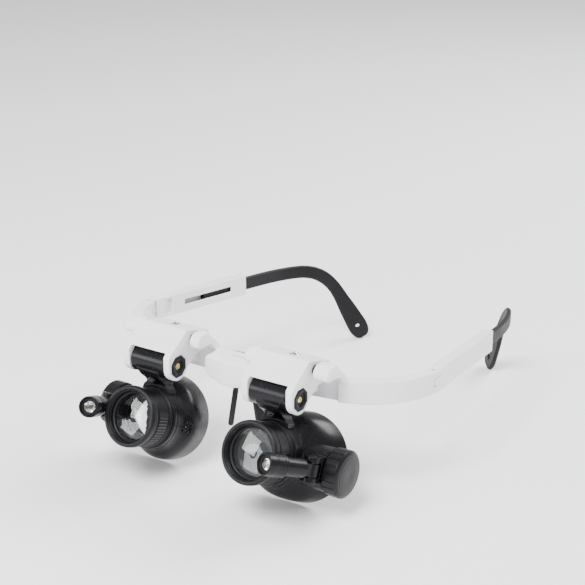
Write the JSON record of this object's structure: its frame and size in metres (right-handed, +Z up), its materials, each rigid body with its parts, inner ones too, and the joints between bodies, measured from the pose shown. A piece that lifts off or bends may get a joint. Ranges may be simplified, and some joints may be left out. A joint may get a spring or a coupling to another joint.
{
  "type": "head visor magnifier",
  "caption": "Head-worn magnifier: spectacle-style white frame with tilting twin lens barrels, flared eyecups, swivelling lamps, folding sliding temples.",
  "frame": {"origin": "centre of the footprint, on the surface the object stands on", "axes": "-Y the way the wearer looks, +Z up, +X the wearer's left"},
  "size_m": [0.162, 0.2252, 0.0685],
  "materials": {
    "white_abs": "satin",
    "black_abs": "satin",
    "black_matte": "matte",
    "soft_pad": "matte",
    "lens_glass": "polished",
    "led_clear": "polished",
    "screw_steel": "polished",
    "pin_brass": "machined",
    "rod_black": "blackened",
    "cell_steel": "satin"
  },
  "bodies": {
    "frame": {"front_frame": "white_abs", "nose_clip": "black_matte", "left_slide_rod": "rod_black", "left_nose_stem": "screw_steel", "left_nose_pad": "soft_pad", "left_hinge_pin": "screw_steel", "right_slide_rod": "rod_black", "right_nose_stem": "screw_steel", "right_nose_pad": "soft_pad", "right_hinge_pin": "screw_steel"},
    "left_carriage": {"left_carriage": "white_abs", "left_tilt_pin": "pin_brass", "left_hinge_cap": "black_abs", "left_carriage_screw": "screw_steel"},
    "left_loupe": {"left_hinge_barrel": "black_abs", "left_neck_screw": "screw_steel", "left_loupe_body": "black_abs", "left_eyecup": "black_abs", "left_battery_tube": "black_abs", "left_coin_cells": "cell_steel", "left_lamp_pin": "screw_steel"},
    "left_lens_cell": {"left_lens_cell": "black_abs", "left_front_lens": "lens_glass", "left_rear_lens": "lens_glass", "left_spacer_ring": "black_matte", "left_retaining_ring": "black_matte"},
    "left_battery_cap": {"left_battery_cap": "black_matte"},
    "left_lamp_arm": {"left_lamp_arm": "black_abs", "left_lamp_bezel": "black_matte", "left_led": "led_clear"},
    "left_temple": {"left_temple_sleeve": "white_abs"},
    "left_temple_arm": {"left_temple_arm": "black_matte"},
    "right_carriage": {"right_carriage": "white_abs", "right_tilt_pin": "pin_brass", "right_hinge_cap": "black_abs", "right_carriage_screw": "screw_steel"},
    "right_loupe": {"right_hinge_barrel": "black_abs", "right_neck_screw": "screw_steel", "right_loupe_body": "black_abs", "right_eyecup": "black_abs", "right_battery_tube": "black_abs", "right_coin_cells": "cell_steel", "right_lamp_pin": "screw_steel"},
    "right_lens_cell": {"right_lens_cell": "black_abs", "right_front_lens": "lens_glass", "right_rear_lens": "lens_glass", "right_spacer_ring": "black_matte", "right_retaining_ring": "black_matte"},
    "right_battery_cap": {"right_battery_cap": "black_matte"},
    "right_lamp_arm": {"right_lamp_arm": "black_abs", "right_lamp_bezel": "black_matte", "right_led": "led_clear"},
    "right_temple": {"right_temple_sleeve": "white_abs"},
    "right_temple_arm": {"right_temple_arm": "black_matte"}
  },
  "joints": [
    {"name": "left_carriage_slide", "type": "slide", "parent": "frame", "child": "left_carriage", "axis": [1, 0, 0], "range_m": [-0.0012, 0.0012]},
    {"name": "left_loupe_tilt", "type": "hinge", "parent": "left_carriage", "child": "left_loupe", "pos_m": [0.032, -0.081, 0.0535], "axis": [-1, 0, 0], "range_deg": [-15, 70]},
    {"name": "left_lens_cell_turn", "type": "hinge", "parent": "left_loupe", "child": "left_lens_cell", "pos_m": [0.032, -0.09104, 0.02984], "axis": [0, -0.9205, 0.3907], "range_deg": [0, 340]},
    {"name": "left_battery_cap_turn", "type": "hinge", "parent": "left_loupe", "child": "left_battery_cap", "pos_m": [0.061, -0.07486, 0.02189], "axis": [1, 0, 0], "range_deg": [0, 90]},
    {"name": "left_lamp_arm_swing", "type": "hinge", "parent": "left_loupe", "child": "left_lamp_arm", "pos_m": [0.0552, -0.08867, 0.02775], "axis": [0, 0.3907, 0.9205], "range_deg": [0, 40]},
    {"name": "left_temple_fold", "type": "hinge", "parent": "frame", "child": "left_temple", "pos_m": [0.0785, -0.0283, 0.05155], "axis": [0, 0, 1], "range_deg": [0, 84]},
    {"name": "left_temple_slide", "type": "slide", "parent": "left_temple", "child": "left_temple_arm", "axis": [-0.1042, 0.9917, -0.075], "range_m": [-0.014, 0.016]},
    {"name": "right_carriage_slide", "type": "slide", "parent": "frame", "child": "right_carriage", "axis": [-1, 0, 0], "range_m": [-0.0012, 0.0012]},
    {"name": "right_loupe_tilt", "type": "hinge", "parent": "right_carriage", "child": "right_loupe", "pos_m": [-0.032, -0.081, 0.0535], "axis": [-1, 0, 0], "range_deg": [-15, 70]},
    {"name": "right_lens_cell_turn", "type": "hinge", "parent": "right_loupe", "child": "right_lens_cell", "pos_m": [-0.032, -0.09104, 0.02984], "axis": [0, -0.9205, 0.3907], "range_deg": [0, 340]},
    {"name": "right_battery_cap_turn", "type": "hinge", "parent": "right_loupe", "child": "right_battery_cap", "pos_m": [-0.061, -0.07436, 0.02309], "axis": [-1, 0, 0], "range_deg": [0, 90]},
    {"name": "right_lamp_arm_swing", "type": "hinge", "parent": "right_loupe", "child": "right_lamp_arm", "pos_m": [-0.0552, -0.08816, 0.02895], "axis": [0, -0.3907, -0.9205], "range_deg": [0, 40]},
    {"name": "right_temple_fold", "type": "hinge", "parent": "frame", "child": "right_temple", "pos_m": [-0.0785, -0.0283, 0.05155], "axis": [0, 0, -1], "range_deg": [0, 74]},
    {"name": "right_temple_slide", "type": "slide", "parent": "right_temple", "child": "right_temple_arm", "axis": [0.1042, 0.9917, -0.075], "range_m": [-0.014, 0.016]}
  ]
}
